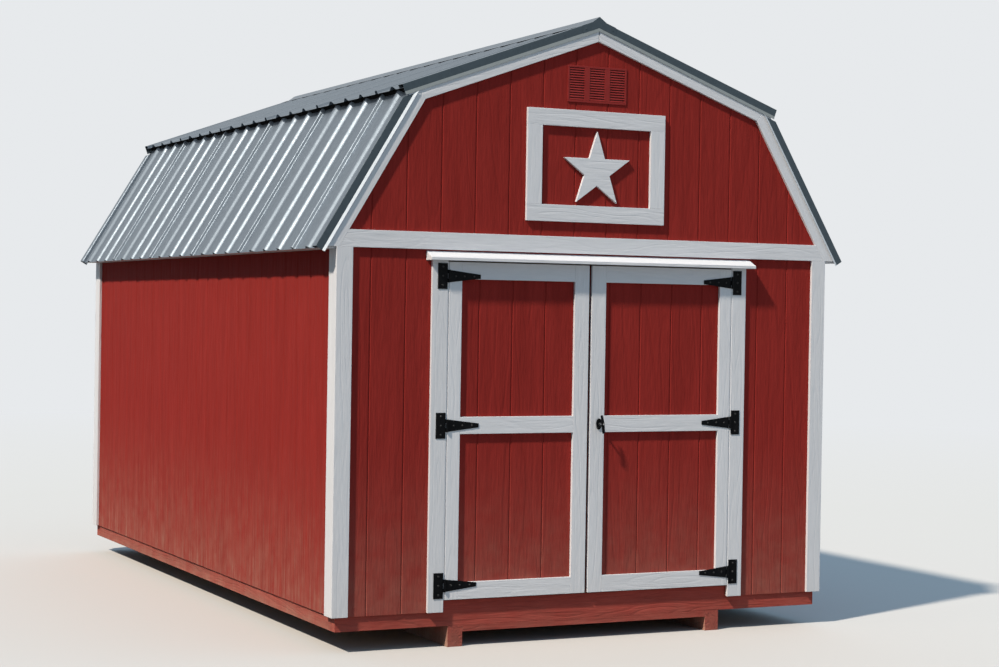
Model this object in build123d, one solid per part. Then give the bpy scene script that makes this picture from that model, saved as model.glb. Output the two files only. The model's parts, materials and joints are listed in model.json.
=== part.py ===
from build123d import *
import math
import os

# Barn-style portable shed: gambrel metal roof, grooved panel walls, double doors, on two skids.
# Millimetres. X runs across the front, +Y runs from the front to the back, +Z is up.
# The origin is on the ground under the middle of the floor frame.

# Floor frame and lumber
frame_width = 3048.0
frame_length = 4877.0
lumber_thickness = 38.0
stud_depth = 89.0
framing_spacing = 406.4
rim_height = 140.0
floor_thickness = 18.0
floor_setback = 6.0
skid_height = 116.0
skid_width = 89.0
skid_spacing = 1640.0
cross_board_height = 35.0
cross_board_depth = 89.0

# Walls and trim boards
siding_thickness = 11.0
siding_lap = 60.0
trim_thickness = 18.0
trim_width = 93.0
soffit_thickness = 11.0

# Roof
knuckle_half_width = 1118.0
knuckle_rise = 882.3
ridge_rise = 406.9
rafter_depth = 140.0
rafter_bearing = 52.0
deck_thickness = 11.0
deck_joint = 2.0
sheet_thickness = 1.0
rib_height = 19.0
rib_base = 60.0
rib_top = 24.0
rib_spacing = 228.6
first_rib = 150.0
eave_drip = 12.0
knuckle_overhang = 71.0
lower_sheet_gap = 40.0
ridge_gap = 5.0
rake_height = 21.0
rake_flange = 60.0
rake_face = 42.0
hem_height = 22.0
hem_kick = 10.0
rake_clearance = 3.0
cap_half_width = 105.0
cap_flat = 45.0
cap_rise = 16.0

# Doorway and leaves
doorway_half_width = 906.0
doorway_height = 1846.0
header_height = 58.0
side_gap = 8.0
leaf_gap = 6.0
meeting_gap = 12.0
meeting_offset = 28.0
hinge_stile_width = 76.0
mid_rail_centre = 946.0
back_frame_width = 64.0
back_frame_inset = 20.0

# Drip cap over the doorway
drip_cap_side = 31.0
drip_cap_height = 51.0
drip_cap_depth = 75.0
drip_cap_nose = 16.0

# Hinges
hinge_end_distance = 78.0
plate_width = 57.0
plate_height = 140.0
plate_gap = 8.0
hinge_thickness = 3.0
knuckle_radius = 6.0
knuckle_gap = 0.5
knuckle_length = 20.0
strap_knuckle_length = 28.0
strap_length = 190.0
strap_root = 66.0
strap_tip = 22.0
pin_radius = 3.0
pin_clearance = 0.3

# Handle
handle_edge_distance = 58.0
rose_radius = 28.0
rose_thickness = 8.0
spindle_radius = 6.0
handle_stand_off = 50.0
handle_length = 104.0
handle_radius = 7.5

# Gable ornament: the vent hangs from the rake boards, and the star's frame fills the room under it
star_frame_lift = 83.0
star_side_gap = 136.0
star_lift = 20.0
star_points = 5
star_inner_share = 0.382
vent_width = 375.0
vent_height = 205.0
vent_drop = 71.0
vent_lift = 46.0
vent_thickness = 14.0

# Levels and faces that several pieces share
half_width = frame_width / 2
half_length = frame_length / 2
rim_bottom = skid_height
rim_top = rim_bottom + rim_height
floor_top = rim_top + floor_thickness
doorway_top = rim_top + doorway_height
plate_top = doorway_top + header_height
band_top = plate_top + trim_width
siding_bottom = rim_top - siding_lap
siding_half = half_width + siding_thickness
siding_end = half_length + siding_thickness
trim_half = siding_half + trim_thickness
trim_end = siding_end + trim_thickness
inside_half = half_width - stud_depth
inside_end = half_length - stud_depth
door_bottom = rim_top + leaf_gap
door_top = doorway_top - leaf_gap
mid_rail_height = door_bottom + mid_rail_centre

# Roof lines, as depths under the top of the roof deck
# The lower slope's pitch brings the underside of its rafters down onto the wall plates
knuckle_z = plate_top + knuckle_rise
ridge_z = knuckle_z + ridge_rise
rafter_under = deck_thickness + rafter_depth
lower_run = half_width - rafter_bearing - knuckle_half_width
upper_pitch = math.atan2(ridge_rise, knuckle_half_width)
lower_pitch = math.acos(rafter_under / math.hypot(knuckle_rise, lower_run))
lower_pitch -= math.atan2(lower_run, knuckle_rise)
upper_cos = math.cos(upper_pitch)
upper_sin = math.sin(upper_pitch)
upper_tan = math.tan(upper_pitch)
lower_cos = math.cos(lower_pitch)
lower_sin = math.sin(lower_pitch)
lower_tan = math.tan(lower_pitch)


def ridge_point(depth):
    return (0, ridge_z - depth / upper_cos)


def knuckle_point(depth):
    shift = depth * (1 / upper_cos - 1 / lower_cos) / (lower_tan - upper_tan)
    drop = shift * upper_tan + depth / upper_cos
    return (knuckle_half_width + shift, knuckle_z - drop)


def eave_point(depth, level):
    return (knuckle_half_width + (knuckle_z - depth / lower_cos - level) / lower_tan, level)


def wall_line_point(depth):
    return (siding_half, knuckle_z - depth / lower_cos - (siding_half - knuckle_half_width) * lower_tan)


def block(x_low, x_high, y_low, y_high, z_low, z_high):
    size = (x_high - x_low, y_high - y_low, z_high - z_low)
    centre = ((x_low + x_high) / 2, (y_low + y_high) / 2, (z_low + z_high) / 2)
    return Pos(*centre) * Box(*size)


def slab_along_y(outline, y_low, y_high):
    face = make_face(Polyline([(x, y_low, z) for x, z in outline], close=True))
    return extrude(face, amount=y_high - y_low, dir=(0, 1, 0))


def slab_along_x(outline, x_low, x_high):
    face = make_face(Polyline([(x_low, y, z) for y, z in outline], close=True))
    return extrude(face, amount=x_high - x_low, dir=(1, 0, 0))


def other_side(shape):
    return mirror(shape, about=Plane.YZ)


def other_end(shape):
    return mirror(shape, about=Plane.XZ)


def both_sides(shape):
    return [shape, other_side(shape)]


def both_ends(shapes):
    return list(shapes) + [other_end(shape) for shape in shapes]


def spread(low, high, spacing):
    count = max(1, round((high - low) / spacing))
    return [low + (high - low) * index / count for index in range(count + 1)]


os.makedirs("parts", exist_ok=True)


def save(name, *shapes):
    solids = [solid for shape in shapes for solid in shape.solids()]
    export_step(Compound(children=solids), f"parts/{name}.step")


# Skids and floor frame
def floor_frame():
    skid_x = skid_spacing / 2
    skid = block(-skid_width / 2, skid_width / 2, -half_length, half_length, 0, skid_height)
    save("left_skid", Pos(-skid_x, 0, 0) * skid)
    save("right_skid", Pos(skid_x, 0, 0) * skid)

    tie_half = skid_x - skid_width / 2
    tie = block(-tie_half, tie_half, -half_length, cross_board_depth - half_length,
                rim_bottom - cross_board_height, rim_bottom)
    save("skid_cross_boards", *both_ends([tie]))

    rim_inside = half_length - lumber_thickness
    end_rim = block(-half_width, half_width, -half_length, -rim_inside, rim_bottom, rim_top)
    save("end_rims", *both_ends([end_rim]))
    side_rim = block(half_width - lumber_thickness, half_width, -rim_inside, rim_inside, rim_bottom, rim_top)
    save("side_rims", *both_sides(side_rim))

    joist_half = half_width - lumber_thickness
    joist_lines = framing_lines()[1:-1]
    joists = [block(-joist_half, joist_half, y - lumber_thickness / 2, y + lumber_thickness / 2,
                    rim_bottom, rim_top) for y in joist_lines]
    save("floor_joists", *joists)

    deck_end = half_length - floor_setback
    save("floor_deck", block(-half_width, half_width, -deck_end, deck_end, rim_top, floor_top))


# Centre lines of joists, side studs and rafters along the length
def framing_lines():
    end_line = half_length - lumber_thickness / 2
    return spread(-end_line, end_line, framing_spacing)


# Studs, plates and door header
def wall_frames():
    stud_bottom = floor_top + lumber_thickness
    stud_top = plate_top - lumber_thickness

    side_studs = [block(inside_half, half_width, y - lumber_thickness / 2, y + lumber_thickness / 2,
                        stud_bottom, stud_top) for y in framing_lines()]
    save("side_wall_studs", *side_studs, *[other_side(stud) for stud in side_studs])

    side_plates = [block(inside_half, half_width, -half_length, half_length, low, low + lumber_thickness)
                   for low in (floor_top, stud_top)]
    save("side_wall_plates", *side_plates, *[other_side(plate) for plate in side_plates])

    header_end = doorway_half_width + lumber_thickness
    jamb_stud = block(doorway_half_width, header_end, -half_length, -inside_end, stud_bottom, doorway_top)
    front_lines = spread(doorway_half_width + lumber_thickness / 2, inside_half - lumber_thickness / 2,
                         framing_spacing)[1:]
    front_studs = [block(x - lumber_thickness / 2, x + lumber_thickness / 2, -half_length, -inside_end,
                         stud_bottom, stud_top) for x in front_lines]
    front_side = [jamb_stud] + front_studs
    back_line = inside_half - lumber_thickness / 2
    back_studs = [block(x - lumber_thickness / 2, x + lumber_thickness / 2, inside_end, half_length,
                        stud_bottom, stud_top) for x in spread(-back_line, back_line, framing_spacing)]
    save("end_wall_studs", *front_side, *[other_side(stud) for stud in front_side], *back_studs)

    front_plates = [block(doorway_half_width, inside_half, -half_length, -inside_end, floor_top, stud_bottom),
                    block(header_end, inside_half, -half_length, -inside_end, stud_top, plate_top)]
    back_plates = [block(-inside_half, inside_half, inside_end, half_length, low, low + lumber_thickness)
                   for low in (floor_top, stud_top)]
    save("end_wall_plates", *front_plates, *[other_side(plate) for plate in front_plates], *back_plates)

    save("door_header", block(-header_end, header_end, -half_length, -inside_end, doorway_top, plate_top))


# Grooved panel siding, plain here
def siding():
    joint = plate_top + trim_width / 2
    wall = block(doorway_half_width, siding_half, -siding_end, -half_length, siding_bottom, joint)
    save("front_wall_right", wall)
    save("front_wall_left", other_side(wall))
    save("front_wall_head", block(-doorway_half_width, doorway_half_width, -siding_end, -half_length,
                                  doorway_top, joint))

    right_line = [wall_line_point(deck_thickness), knuckle_point(deck_thickness)]
    left_line = [(-x, z) for x, z in reversed(right_line)]
    roof_line = right_line + [ridge_point(deck_thickness)] + left_line
    gable = [(-siding_half, joint), (siding_half, joint)] + roof_line
    save("front_gable", slab_along_y(gable, -siding_end, -half_length))
    back = [(-siding_half, siding_bottom), (siding_half, siding_bottom)] + roof_line
    save("back_wall", slab_along_y(back, half_length, siding_end))

    side = block(half_width, siding_half, -half_length, half_length, siding_bottom, plate_top)
    save("right_wall", side)
    save("left_wall", other_side(side))


# Rafters and roof deck
def roof_strip(outer_depth, inner_depth, ridge_clear):
    fall = ridge_clear * upper_tan
    top = (ridge_clear, ridge_point(outer_depth)[1] - fall)
    bottom = (ridge_clear, ridge_point(inner_depth)[1] - fall)
    upper = [top, knuckle_point(outer_depth), knuckle_point(inner_depth), bottom]
    lower = [knuckle_point(outer_depth), eave_point(outer_depth, plate_top),
             eave_point(inner_depth, plate_top), knuckle_point(inner_depth)]
    return upper, lower


def roof_frame():
    upper, lower = roof_strip(deck_thickness, rafter_under, 0)
    for place, outline in (("upper", upper), ("lower", lower)):
        rafters = [slab_along_y(outline, y - lumber_thickness / 2, y + lumber_thickness / 2)
                   for y in framing_lines()]
        save(f"right_{place}_rafters", *rafters)
        save(f"left_{place}_rafters", *[other_side(rafter) for rafter in rafters])

    upper, lower = roof_strip(0, deck_thickness, deck_joint)
    save("upper_roof_decks", *both_sides(slab_along_y(upper, -siding_end, siding_end)))
    save("lower_roof_decks", *both_sides(slab_along_y(lower, -siding_end, siding_end)))

    soffit = block(siding_half, eave_point(0, plate_top)[0], -siding_end, siding_end,
                   plate_top - soffit_thickness, plate_top)
    save("eave_soffits", *both_sides(soffit))


# A plane across a left slope: its x runs along +Y, its y away from the deck, its z up the slope
def slope_plane(pitch_cos, pitch_sin, distance):
    start = (-knuckle_half_width - distance * pitch_cos, 0, knuckle_z - distance * pitch_sin)
    return Plane(origin=start, x_dir=(0, 1, 0), z_dir=(pitch_cos, 0, pitch_sin))


def along_slope(outline, plane, length):
    face = make_face(Polyline([plane.from_local_coords((y, away, 0)) for y, away in outline], close=True))
    return extrude(face, amount=length, dir=plane.z_dir)


def ribbed_outline():
    last_rib = 2 * trim_end - rib_base
    count = int((last_rib - first_rib) / rib_spacing) + 1
    centres = [first_rib - trim_end + rib_spacing * index for index in range(count)]
    line = [(-trim_end, 0)]
    for centre in centres:
        line += [(centre - rib_base / 2, 0), (centre - rib_top / 2, rib_height),
                 (centre + rib_top / 2, rib_height), (centre + rib_base / 2, 0)]
    line.append((trim_end, 0))
    top = [(y, away + sheet_thickness) for y, away in line]
    return line + top[::-1]


# Metal gable trim: a step on the sheet, a face over the white board and a kicked-out hem
def rake_outline():
    face = -trim_end - sheet_thickness
    step = rake_flange - trim_end
    face_foot = rake_height - rake_face
    hem_foot = face_foot - hem_height
    outside = [(step, sheet_thickness), (step, rake_height), (face, rake_height), (face, face_foot),
               (face - hem_kick, hem_foot)]
    back = step - sheet_thickness
    under = rake_height - sheet_thickness
    inside = [(face - hem_kick + sheet_thickness, hem_foot), (-trim_end, face_foot), (-trim_end, under),
              (back, under), (back, sheet_thickness)]
    return outside + inside


def metal_roof():
    lower_length = (eave_point(0, plate_top)[0] - knuckle_half_width) / lower_cos + eave_drip
    upper_length = knuckle_half_width / upper_cos + knuckle_overhang
    lower_plane = slope_plane(lower_cos, lower_sin, lower_length)
    upper_plane = slope_plane(upper_cos, upper_sin, knuckle_overhang)
    ribs = ribbed_outline()
    lower_sheet = along_slope(ribs, lower_plane, lower_length - lower_sheet_gap)
    upper_sheet = along_slope(ribs, upper_plane, upper_length - ridge_gap)
    save("lower_roofing", *both_sides(lower_sheet))
    save("upper_roofing", *both_sides(upper_sheet))

    rake = rake_outline()
    hem_depth = rake_face + hem_height - rake_height
    reach = trim_end + hem_kick + rake_flange
    upper_rake = along_slope(rake, upper_plane, upper_length + hem_depth)
    beyond_ridge = block(-ridge_gap, upper_length, -reach, reach, 0, ridge_z + upper_length)
    upper_rake = upper_rake - beyond_ridge
    cut_depth = hem_depth + rake_clearance
    low_line = [(-x, z) for x, z in (ridge_point(cut_depth), (lower_length + knuckle_half_width,
                ridge_point(cut_depth)[1] - (lower_length + knuckle_half_width) * upper_tan))]
    high_line = [(x, z + lower_length + knuckle_half_width) for x, z in reversed(low_line)]
    lower_rake = along_slope(rake, lower_plane, lower_length + hem_depth)
    lower_rake = lower_rake - slab_along_y(low_line + high_line, -reach, reach)
    save("upper_rake_metal", *both_ends(both_sides(upper_rake)))
    save("lower_rake_metal", *both_ends(both_sides(lower_rake)))

    seat = ridge_z + rake_height / upper_cos
    wing = [(x, seat - x * upper_tan) for x in (cap_half_width, cap_flat)]
    under = [(-x, z) for x, z in wing] + [(0, seat + cap_rise)] + wing[::-1]
    over = [(x, z + sheet_thickness / upper_cos) for x, z in under]
    cap_end = trim_end + sheet_thickness
    save("ridge_cap", slab_along_y(under + over[::-1], -cap_end, cap_end))


# White boards on the walls
def trim_boards():
    upper, lower = roof_strip(0, trim_width, deck_joint)
    save("upper_rake_boards", *both_ends(both_sides(slab_along_y(upper, -trim_end, -siding_end))))
    save("lower_rake_boards", *both_ends(both_sides(slab_along_y(lower, -trim_end, -siding_end))))

    band_low = eave_point(trim_width, plate_top)
    band_high = eave_point(trim_width, band_top)
    band = [(-band_low[0], band_low[1]), band_low, band_high, (-band_high[0], band_high[1])]
    save("gable_bands", *both_ends([slab_along_y(band, -trim_end, -siding_end)]))

    end_board = block(trim_half - trim_width, trim_half, -trim_end, -siding_end, siding_bottom, plate_top)
    save("end_corner_boards", *both_ends(both_sides(end_board)))
    side_board = block(siding_half, trim_half, -siding_end, trim_width - siding_end, siding_bottom,
                       plate_top - soffit_thickness)
    save("side_corner_boards", *both_ends(both_sides(side_board)))

    jamb = block(doorway_half_width, doorway_half_width + trim_width, -trim_end, -siding_end,
                 siding_bottom, doorway_top)
    save("door_jamb_boards", *both_sides(jamb))

    cap_half = doorway_half_width + trim_width + drip_cap_side
    cap_front = -siding_end - drip_cap_depth
    cap = [(-siding_end, doorway_top), (cap_front, doorway_top), (cap_front, doorway_top + drip_cap_nose),
           (-siding_end, doorway_top + drip_cap_height)]
    save("drip_cap", slab_along_x(cap, -cap_half, cap_half))


# The louvred vents, and the star in its frame
def gable_ornament():
    vent_high = ridge_z - trim_width / upper_cos - vent_width / 2 * upper_tan - vent_drop
    vent_low = vent_high - vent_height
    vent = block(-vent_width / 2, vent_width / 2, -siding_end - vent_thickness, -siding_end,
                 vent_low, vent_high)
    save("gable_vents", *both_ends([vent]))

    frame_low = band_top + star_frame_lift
    frame_high = vent_low - vent_lift
    drop = math.cos(math.pi / star_points)
    star_radius = (frame_high - frame_low - 2 * trim_width - 2 * star_lift) / (1 + drop)
    star_z = frame_low + trim_width + star_lift + star_radius * drop
    tips = []
    for index in range(2 * star_points):
        radius = star_radius * (1 if index % 2 == 0 else star_inner_share)
        turn = math.pi * index / star_points
        tips.append((radius * math.sin(turn), star_z + radius * math.cos(turn)))
    save("star", slab_along_y(tips, -trim_end, -siding_end))

    frame_half = max(x for x, z in tips) + star_side_gap + trim_width
    rails = [block(-frame_half, frame_half, -trim_end, -siding_end, low, low + trim_width)
             for low in (frame_low, frame_high - trim_width)]
    save("star_frame_rails", *rails)
    stile = block(frame_half - trim_width, frame_half, -trim_end, -siding_end,
                  frame_low + trim_width, frame_high - trim_width)
    save("star_frame_stiles", *both_sides(stile))


# Hinge places, as heights of their middles
def hinge_heights():
    return [door_bottom + hinge_end_distance, mid_rail_height, door_top - hinge_end_distance]


hinge_x = doorway_half_width - side_gap / 2
hinge_y = -trim_end - knuckle_radius - knuckle_gap


# Right-hand hinge at one height: the plate on the jamb, with its knuckles and pin
def hinge_plate(height):
    face = -trim_end - hinge_thickness
    plate = block(hinge_x + plate_gap, hinge_x + plate_gap + plate_width, face, -trim_end,
                  height - plate_height / 2, height + plate_height / 2)
    middle = strap_knuckle_length / 2 + knuckle_gap
    pin = Pos(hinge_x, hinge_y, height) * Cylinder(pin_radius, strap_knuckle_length + 2 * knuckle_length)
    hinge = plate + pin
    for direction in (1, -1):
        centre = height + direction * (middle + knuckle_length / 2)
        hinge += Pos(hinge_x, hinge_y, centre) * Cylinder(knuckle_radius, knuckle_length)
        hinge += block(hinge_x, hinge_x + plate_gap + plate_width / 2, face, -trim_end,
                       centre - knuckle_length / 2, centre + knuckle_length / 2)
    return hinge


# Right-hand hinge at one height: the tapered strap on the leaf
def hinge_strap(height):
    face = -trim_end - hinge_thickness
    root = hinge_x - plate_gap
    tip = hinge_x - strap_length
    outline = [(root, height - strap_root / 2), (root, height + strap_root / 2),
               (tip, height + strap_tip / 2), (tip, height - strap_tip / 2)]
    strap = slab_along_y(outline, face, -trim_end)
    strap += block(root - strap_tip, hinge_x, face, -trim_end,
                   height - strap_knuckle_length / 2, height + strap_knuckle_length / 2)
    strap += Pos(hinge_x, hinge_y, height) * Cylinder(knuckle_radius, strap_knuckle_length)
    bore = Cylinder(pin_radius + pin_clearance, 2 * strap_knuckle_length)
    return strap - Pos(hinge_x, hinge_y, height) * bore


# One leaf, drawn on the right: from its hinge edge to its meeting edge
def door_leaf(name, meeting_edge, place):
    hinge_edge = doorway_half_width - side_gap
    panel = block(meeting_edge, hinge_edge, -siding_end, -half_length, door_bottom, door_top)
    save(f"{name}_panel", place(panel))

    hinge_stile = block(hinge_edge - hinge_stile_width, hinge_edge, -trim_end, -siding_end,
                        door_bottom, door_top)
    meeting_stile = block(meeting_edge, meeting_edge + trim_width, -trim_end, -siding_end,
                          door_bottom, door_top)
    save(f"{name}_stiles", place(hinge_stile), place(meeting_stile))

    rail_lows = [door_bottom, mid_rail_height - trim_width / 2, door_top - trim_width]
    rails = [block(meeting_edge + trim_width, hinge_edge - hinge_stile_width, -trim_end, -siding_end,
                   low, low + trim_width) for low in rail_lows]
    save(f"{name}_rails", *[place(rail) for rail in rails])

    frame_low = floor_top + leaf_gap
    frame_high = door_top - back_frame_inset
    frame_near = meeting_edge + back_frame_inset
    frame_far = hinge_edge - back_frame_inset
    frame_back = lumber_thickness - half_length
    frame = block(frame_near, frame_far, -half_length, frame_back, frame_low, frame_high)
    rail_low = mid_rail_height - back_frame_width / 2
    rail_high = mid_rail_height + back_frame_width / 2
    for low, high in ((frame_low + back_frame_width, rail_low), (rail_high, frame_high - back_frame_width)):
        frame -= block(frame_near + back_frame_width, frame_far - back_frame_width, -half_length, frame_back,
                       low, high)
    save(f"{name}_back_frame", place(frame))

    save(f"{name}_straps", *[place(hinge_strap(height)) for height in hinge_heights()])


def doors():
    save("hinge_plates", *[piece for height in hinge_heights() for piece in both_sides(hinge_plate(height))])
    right_edge = meeting_gap / 2 - meeting_offset
    left_edge = meeting_gap / 2 + meeting_offset
    door_leaf("right_door", right_edge, lambda shape: shape)
    door_leaf("left_door", left_edge, other_side)

    handle_x = right_edge + handle_edge_distance
    rose_front = -trim_end - rose_thickness
    facing = Rot(90, 0, 0)
    rose = Pos(handle_x, -trim_end - rose_thickness / 2, mid_rail_height) * facing * Cylinder(
        rose_radius, rose_thickness)
    hole = Pos(handle_x, rose_front, mid_rail_height) * facing * Cylinder(
        spindle_radius + pin_clearance, 2 * rose_thickness)
    save("handle_rose", rose - hole)

    bar_y = -trim_end - handle_stand_off
    spindle_end = -trim_end - pin_clearance
    spindle = Pos(handle_x, (bar_y + spindle_end) / 2, mid_rail_height) * facing * Cylinder(
        spindle_radius, spindle_end - bar_y)
    bar = Pos(handle_x, bar_y, mid_rail_height) * Cylinder(handle_radius, handle_length)
    save("t_handle", spindle + bar)


floor_frame()
wall_frames()
siding()
roof_frame()
metal_roof()
trim_boards()
gable_ornament()
doors()
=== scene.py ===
import json
import math
import random

import bmesh
import bpy
import numpy
from mathutils import Matrix, Vector


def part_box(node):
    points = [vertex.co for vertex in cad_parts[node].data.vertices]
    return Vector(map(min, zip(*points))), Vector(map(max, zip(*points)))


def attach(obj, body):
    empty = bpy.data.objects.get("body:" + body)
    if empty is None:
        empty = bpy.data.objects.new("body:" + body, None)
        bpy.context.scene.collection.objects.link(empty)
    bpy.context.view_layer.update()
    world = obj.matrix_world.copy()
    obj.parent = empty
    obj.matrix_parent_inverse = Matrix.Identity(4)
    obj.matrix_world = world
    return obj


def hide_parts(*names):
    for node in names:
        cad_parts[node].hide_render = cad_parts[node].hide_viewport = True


# Barn-style shed on skids: finishes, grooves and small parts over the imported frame, in metres
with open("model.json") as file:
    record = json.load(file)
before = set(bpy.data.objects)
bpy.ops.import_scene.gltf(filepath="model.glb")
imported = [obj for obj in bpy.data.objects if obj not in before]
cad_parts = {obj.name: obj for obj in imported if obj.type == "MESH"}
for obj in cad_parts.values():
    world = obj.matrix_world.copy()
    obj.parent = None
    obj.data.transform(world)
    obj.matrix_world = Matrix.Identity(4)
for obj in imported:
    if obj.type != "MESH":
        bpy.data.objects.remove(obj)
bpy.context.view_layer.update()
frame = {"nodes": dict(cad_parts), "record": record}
nodes = frame["nodes"]
slotOfNode = {part["node"]: part["material_slot"] for part in frame["record"]["subparts"]}
bodyOfNode = {node: body for body, members in frame["record"]["behaviour"]["bodies"].items()
              for node in members}


# Camera at the photograph's viewpoint
cameraSettings = {
    "place": (-5.405, -12.3475, 1.821),
    "yaw": 25.970,      # degrees, to the right of straight ahead
    "pitch": -0.578,
    "roll": 0.903,
    "lens": 72.29,      # millimetres on a 36 mm wide sensor
    "sensor": 36.0,
    "clipEnd": 300.0,
}


def addObject(name, data):
    made = bpy.data.objects.new(name, data)
    bpy.context.scene.collection.objects.link(made)
    return made


def placeCamera():
    look = cameraSettings
    data = bpy.data.cameras.new("camera")
    data.sensor_width = look["sensor"]
    data.lens = look["lens"]
    data.clip_end = look["clipEnd"]
    camera = addObject("camera", data)
    turn = Matrix.Rotation(math.radians(-look["yaw"]), 4, "Z")
    tip = Matrix.Rotation(math.radians(90 + look["pitch"]), 4, "X")
    roll = Matrix.Rotation(math.radians(look["roll"]), 4, "Z")
    camera.matrix_world = Matrix.Translation(look["place"]) @ turn @ tip @ roll
    bpy.context.scene.camera = camera


# Daylight: one lamp from the front left, and a surround that is brighter behind the shed
lightSettings = {
    "towardsLamp": (-0.625, -0.245, 0.741),
    "lampStrength": 4.58,
    "lampSpread": 3.0,              # degrees
    "lampColour": (1.0, 0.895, 0.775),
    "fillColour": (0.54, 0.79, 1.05),
    "fillStrength": 0.47,
    "fillBehind": 1.15,
    "behind": (0.66, 0.72, 0.20),
    "behindRange": (-0.1, 0.9),     # share of a direction that points behind, from none to full
    "fillLeft": 0.28,               # share of the fill that is left on the lamp's side
    "leftRange": (-1.0, -0.2),
    "backdrop": (0.80, 0.82, 0.84),
}
floorSettings = {
    "half": 120.0,
    "colour": (0.55, 0.54, 0.52),
    "bounce": (0.29, 0.285, 0.27),          # colour of the light that the floor sends back
    "leftBounce": (0.105, 0.100, 0.092),    # the same on the lamp's side
    "leftRange": (-2.4, -1.5),
    "fadeRange": (7.0, 22.0),
}


def emptyTree(owner):
    owner.use_nodes = True
    owner.node_tree.nodes.clear()
    return owner.node_tree


def feed(tree, made, inputs):
    for name, value in inputs.items():
        if isinstance(value, bpy.types.NodeSocket):
            tree.links.new(value, made.inputs[name])
        else:
            made.inputs[name].default_value = value


def addNode(tree, kind, inputs=None, **settings):
    made = tree.nodes.new(kind)
    for name, value in settings.items():
        setattr(made, name, value)
    feed(tree, made, inputs or {})
    return made


def mathNode(tree, operation, first, second=0.0, clamp=False):
    made = addNode(tree, "ShaderNodeMath", {0: first, 1: second}, operation=operation, use_clamp=clamp)
    return made.outputs[0]


def times(tree, first, second, clamp=False):
    return mathNode(tree, "MULTIPLY", first, second, clamp)


def ramp(tree, value, low, high, lowOut=0.0, highOut=1.0):
    made = addNode(tree, "ShaderNodeMapRange", {"Value": value, "From Min": low, "From Max": high,
                                                "To Min": lowOut, "To Max": highOut})
    return made.outputs["Result"]


# Inputs 6 and 7 and output 2 of this node carry colours
def mixColour(tree, factor, first, second, blend="MIX"):
    made = addNode(tree, "ShaderNodeMix", {0: factor, 6: first, 7: second},
                   data_type="RGBA", blend_type=blend)
    return made.outputs[2]


def opaque(colour):
    return (*colour, 1.0)


def objectPlace(tree):
    return addNode(tree, "ShaderNodeTexCoord").outputs["Object"]


def axisOf(tree, vector, axis):
    return addNode(tree, "ShaderNodeSeparateXYZ", {0: vector}).outputs[axis]


def stretched(tree, vector, scale):
    return addNode(tree, "ShaderNodeVectorMath", {0: vector, 1: scale}, operation="MULTIPLY").outputs[0]


def noise(tree, vector, scale, detail=2.0, roughness=0.5, stretch=None):
    if stretch:
        vector = stretched(tree, vector, stretch)
    made = addNode(tree, "ShaderNodeTexNoise",
                   {"Vector": vector, "Scale": scale, "Detail": detail, "Roughness": roughness})
    return made.outputs["Fac"]


# A tone of its own for each cell
def cellTone(tree, vector, scale):
    cells = addNode(tree, "ShaderNodeTexVoronoi", {"Vector": vector, "Scale": scale})
    return addNode(tree, "ShaderNodeSeparateColor", {0: cells.outputs["Color"]}).outputs[0]


def weigh(tree, first, firstShare, second, secondShare, clamp=False):
    return mathNode(tree, "ADD", times(tree, first, firstShare), times(tree, second, secondShare), clamp)


# Rays that meet the backdrop as it looks, and not as a source of light
def seeingRays(tree):
    path = addNode(tree, "ShaderNodeLightPath").outputs
    sees = mathNode(tree, "MAXIMUM", path["Is Camera Ray"], path["Is Glossy Ray"])
    return mathNode(tree, "MAXIMUM", sees, path["Is Transmission Ray"])


def lightScene():
    look = lightSettings
    lamp = bpy.data.lights.new("lamp", "SUN")
    lamp.energy = look["lampStrength"]
    lamp.angle = math.radians(look["lampSpread"])
    lamp.color = look["lampColour"]
    lampObject = addObject("lamp", lamp)
    lampObject.rotation_euler = Vector(look["towardsLamp"]).to_track_quat("Z", "Y").to_euler()

    world = bpy.data.worlds.new("surround")
    bpy.context.scene.world = world
    tree = emptyTree(world)
    direction = addNode(tree, "ShaderNodeTexCoord").outputs["Generated"]
    facing = addNode(tree, "ShaderNodeVectorMath", {0: direction, 1: look["behind"]},
                     operation="DOT_PRODUCT").outputs["Value"]
    level = ramp(tree, facing, *look["behindRange"], look["fillStrength"], look["fillBehind"])
    leftShare = ramp(tree, axisOf(tree, direction, "X"), *look["leftRange"], look["fillLeft"], 1.0)
    level = times(tree, level, leftShare)
    fill = addNode(tree, "ShaderNodeBackground", {"Color": opaque(look["fillColour"]), "Strength": level})
    seen = addNode(tree, "ShaderNodeBackground", {"Color": opaque(look["backdrop"]), "Strength": 1.0})
    both = addNode(tree, "ShaderNodeMixShader", {0: seeingRays(tree), 1: fill.outputs[0], 2: seen.outputs[0]})
    addNode(tree, "ShaderNodeOutputWorld", {"Surface": both.outputs[0]})
    bpy.context.scene.view_settings.view_transform = "Standard"


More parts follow.
